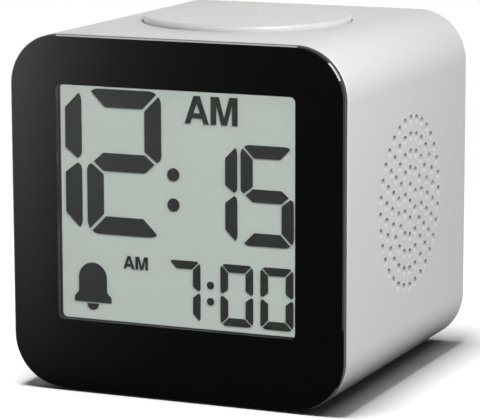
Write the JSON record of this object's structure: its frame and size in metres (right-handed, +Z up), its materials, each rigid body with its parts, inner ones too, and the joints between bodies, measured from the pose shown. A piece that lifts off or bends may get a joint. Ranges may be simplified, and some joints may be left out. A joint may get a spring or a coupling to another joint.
{
  "type": "talking clock",
  "caption": "Cube bedside talking clock with a front display window, a large round talk button on top and a drilled side grille.",
  "frame": {"origin": "bottom centre, on the surface that the four feet rest on", "axes": "+Z up; -Y is the front, with the display; +X is the side with the speaker grille"},
  "size_m": [0.08, 0.08, 0.082],
  "materials": {
    "case_white": "fine satin moulded plastic",
    "plate_black": "polished moulded plastic",
    "lens_clear": "polished clear plastic",
    "button_white": "fine satin moulded plastic",
    "cover_white": "fine spark-eroded moulded plastic",
    "key_grey": "satin moulded plastic",
    "rubber_dark": "matte rubber",
    "screw_steel": "zinc-plated steel",
    "frame_black": "matte moulded plastic",
    "polariser_film": "smooth film",
    "cell_glass": "flat glass",
    "segment_dark": "dark crystal strokes",
    "reflector_pale": "pale grey-green film",
    "guide_clear": "clear plastic",
    "led_white": "white package",
    "strip_rubber": "layered silicone",
    "board_green": "coated glass-fibre laminate",
    "chip_black": "moulded resin",
    "crystal_steel": "plated can",
    "can_aluminium": "bare can",
    "ribbon_pale": "flexible film",
    "inner_grey": "plain moulded plastic",
    "spring_steel": "drawn wire",
    "switch_black": "moulded plastic",
    "plunger_grey": "moulded plastic",
    "contact_nickel": "nickel-plated sheet",
    "cell_sleeve": "printed sleeve on a can",
    "basket_steel": "pressed sheet",
    "yoke_steel": "plated steel",
    "magnet_ferrite": "sintered ferrite",
    "cone_paper": "pressed pulp",
    "surround_cloth": "coated cloth",
    "coil_copper": "wound wire",
    "lead_rubber": "wire insulation"
  },
  "bodies": {
    "clock": {"alarm_switch_body": "switch_black", "backlight_leds": "led_white", "battery_contacts": "contact_nickel", "battery_leads": "lead_rubber", "battery_lower": "cell_sleeve", "battery_springs": "spring_steel", "battery_tray": "inner_grey", "battery_upper": "cell_sleeve", "button_carrier": "inner_grey", "capacitors": "can_aluminium", "case_shell": "case_white", "clock_chip": "chip_black", "display_board": "board_green", "display_frame": "frame_black", "foot_front_left": "rubber_dark", "foot_front_right": "rubber_dark", "foot_rear_left": "rubber_dark", "foot_rear_right": "rubber_dark", "front_plate": "plate_black", "front_polariser": "polariser_film", "inner_screws": "screw_steel", "key_board": "board_green", "key_switches": "switch_black", "lcd_front_glass": "cell_glass", "lcd_rear_glass": "cell_glass", "lcd_segments": "segment_dark", "light_guide": "guide_clear", "quartz_crystal": "crystal_steel", "rear_cover": "cover_white", "rear_screws": "screw_steel", "reflector_film": "reflector_pale", "return_springs": "spring_steel", "ribbon_cable": "ribbon_pale", "speaker_basket": "basket_steel", "speaker_clamp": "inner_grey", "speaker_leads": "lead_rubber", "speaker_magnet": "magnet_ferrite", "speaker_surround": "surround_cloth", "speaker_top_plate": "yoke_steel", "speaker_yoke": "yoke_steel", "talk_board": "board_green", "talk_switch": "switch_black", "voice_chip": "chip_black", "window_lens": "lens_clear", "zebra_strips": "strip_rubber"},
    "talk_button": {"talk_button": "button_white", "talk_switch_plunger": "plunger_grey"},
    "alarm_switch": {"alarm_switch_knob": "key_grey"},
    "battery_door": {"battery_door": "cover_white"},
    "speaker_cone": {"speaker_cone": "cone_paper", "dust_cap": "cone_paper", "voice_coil": "coil_copper"},
    "hour_key": {"hour_key": "key_grey", "hour_key_plunger": "plunger_grey"},
    "minute_key": {"minute_key": "key_grey", "minute_key_plunger": "plunger_grey"},
    "time_key": {"time_key": "key_grey", "time_key_plunger": "plunger_grey"},
    "alarm_key": {"alarm_key": "key_grey", "alarm_key_plunger": "plunger_grey"}
  },
  "joints": [
    {"name": "talk_press", "type": "slide", "parent": "clock", "child": "talk_button", "axis": [0, 0, -1], "range_m": [0, 0.001], "stiffness_N_per_m": 1500, "springref_m": -0.001, "deforming": ["return_springs"]},
    {"name": "hour_press", "type": "slide", "parent": "clock", "child": "hour_key", "axis": [0, -1, 0], "range_m": [0, 0.0008], "stiffness_N_per_m": 1200, "springref_m": -0.0008},
    {"name": "minute_press", "type": "slide", "parent": "clock", "child": "minute_key", "axis": [0, -1, 0], "range_m": [0, 0.0008], "stiffness_N_per_m": 1200, "springref_m": -0.0008},
    {"name": "time_press", "type": "slide", "parent": "clock", "child": "time_key", "axis": [0, -1, 0], "range_m": [0, 0.0008], "stiffness_N_per_m": 1200, "springref_m": -0.0008},
    {"name": "alarm_press", "type": "slide", "parent": "clock", "child": "alarm_key", "axis": [0, -1, 0], "range_m": [0, 0.0008], "stiffness_N_per_m": 1200, "springref_m": -0.0008},
    {"name": "alarm_slide", "type": "slide", "parent": "clock", "child": "alarm_switch", "axis": [1, 0, 0], "range_m": [0, 0.004]},
    {"name": "battery_door_swing", "type": "hinge", "parent": "clock", "child": "battery_door", "pos_m": [0, 0.0385, 0.0085], "axis": [-1, 0, 0], "range_deg": [0, 70]},
    {"name": "cone_travel", "type": "slide", "parent": "clock", "child": "speaker_cone", "axis": [1, 0, 0], "range_m": [-0.0004, 0.0004], "stiffness_N_per_m": 1500, "deforming": ["speaker_surround"]}
  ]
}
